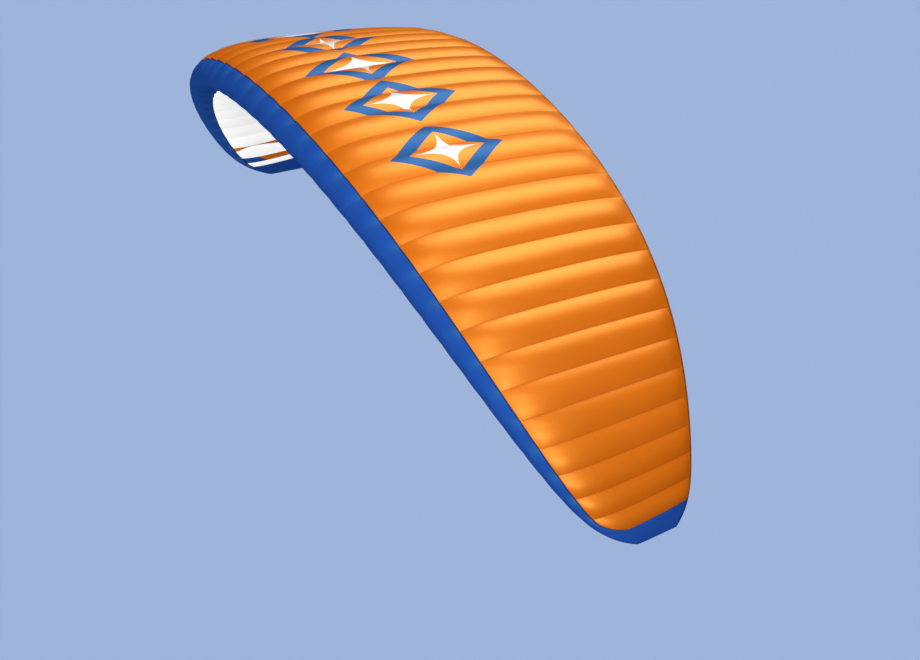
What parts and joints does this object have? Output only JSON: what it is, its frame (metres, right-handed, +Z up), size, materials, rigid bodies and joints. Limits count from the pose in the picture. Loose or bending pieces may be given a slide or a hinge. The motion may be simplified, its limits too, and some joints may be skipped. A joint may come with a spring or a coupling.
{
  "type": "paraglider wing",
  "caption": "Ram-air paraglider wing in its flying shape: arched, tapered canopy of swelling cells, orange on top, blue nose band and tips, white underside, air intakes in the nose.",
  "frame": {"origin": "on the underside of the middle cell, 30 % of the chord behind the leading edge, where the middle suspension lines pull", "axes": "+X along the span to the pilot's left tip, +Y from the leading edge to the trailing edge (the wing flies towards -Y), +Z up"},
  "size_m": [8.9144, 2.8192, 3.3288],
  "materials": {
    "orange_cloth": "coated ripstop nylon, slight gloss",
    "blue_cloth": "coated ripstop nylon, slight gloss",
    "white_cloth": "coated ripstop nylon, slight gloss"
  },
  "bodies": {
    "root": {"upper_panel_01": "orange_cloth", "upper_panel_02": "orange_cloth", "upper_panel_03": "orange_cloth", "upper_panel_04": "orange_cloth", "upper_panel_05": "orange_cloth", "upper_panel_06": "orange_cloth", "upper_panel_07": "orange_cloth", "upper_panel_08": "orange_cloth", "upper_panel_09": "orange_cloth", "upper_panel_10": "orange_cloth", "upper_panel_11": "orange_cloth", "upper_panel_12": "orange_cloth", "upper_panel_13": "orange_cloth", "upper_panel_14": "orange_cloth", "upper_panel_15": "orange_cloth", "upper_panel_16": "orange_cloth", "upper_panel_17": "orange_cloth", "upper_panel_18": "orange_cloth", "upper_panel_19": "orange_cloth", "upper_panel_20": "orange_cloth", "upper_panel_21": "orange_cloth", "upper_panel_22": "orange_cloth", "upper_panel_23": "orange_cloth", "upper_panel_24": "orange_cloth", "upper_panel_25": "orange_cloth", "upper_panel_26": "orange_cloth", "upper_panel_27": "orange_cloth", "upper_panel_28": "orange_cloth", "upper_panel_29": "orange_cloth", "upper_panel_30": "orange_cloth", "upper_panel_31": "orange_cloth", "upper_panel_32": "orange_cloth", "upper_panel_33": "orange_cloth", "upper_panel_34": "orange_cloth", "upper_panel_35": "orange_cloth", "upper_panel_36": "orange_cloth", "upper_panel_37": "orange_cloth", "nose_top_right": "blue_cloth", "nose_under_right": "blue_cloth", "nose_top_centre": "blue_cloth", "nose_under_centre": "blue_cloth", "nose_top_left": "blue_cloth", "nose_under_left": "blue_cloth", "lower_right_outer": "white_cloth", "lower_right_inner": "white_cloth", "lower_centre": "white_cloth", "lower_left_inner": "white_cloth", "lower_left_outer": "white_cloth", "flash_left": "orange_cloth", "inset_left": "white_cloth", "stripe_rear_left": "orange_cloth", "stripe_front_left": "blue_cloth", "border_left": "white_cloth", "flash_right": "orange_cloth", "inset_right": "white_cloth", "stripe_rear_right": "orange_cloth", "stripe_front_right": "blue_cloth", "border_right": "white_cloth", "tip_left": "blue_cloth", "tip_right": "blue_cloth"}
  },
  "joints": []
}
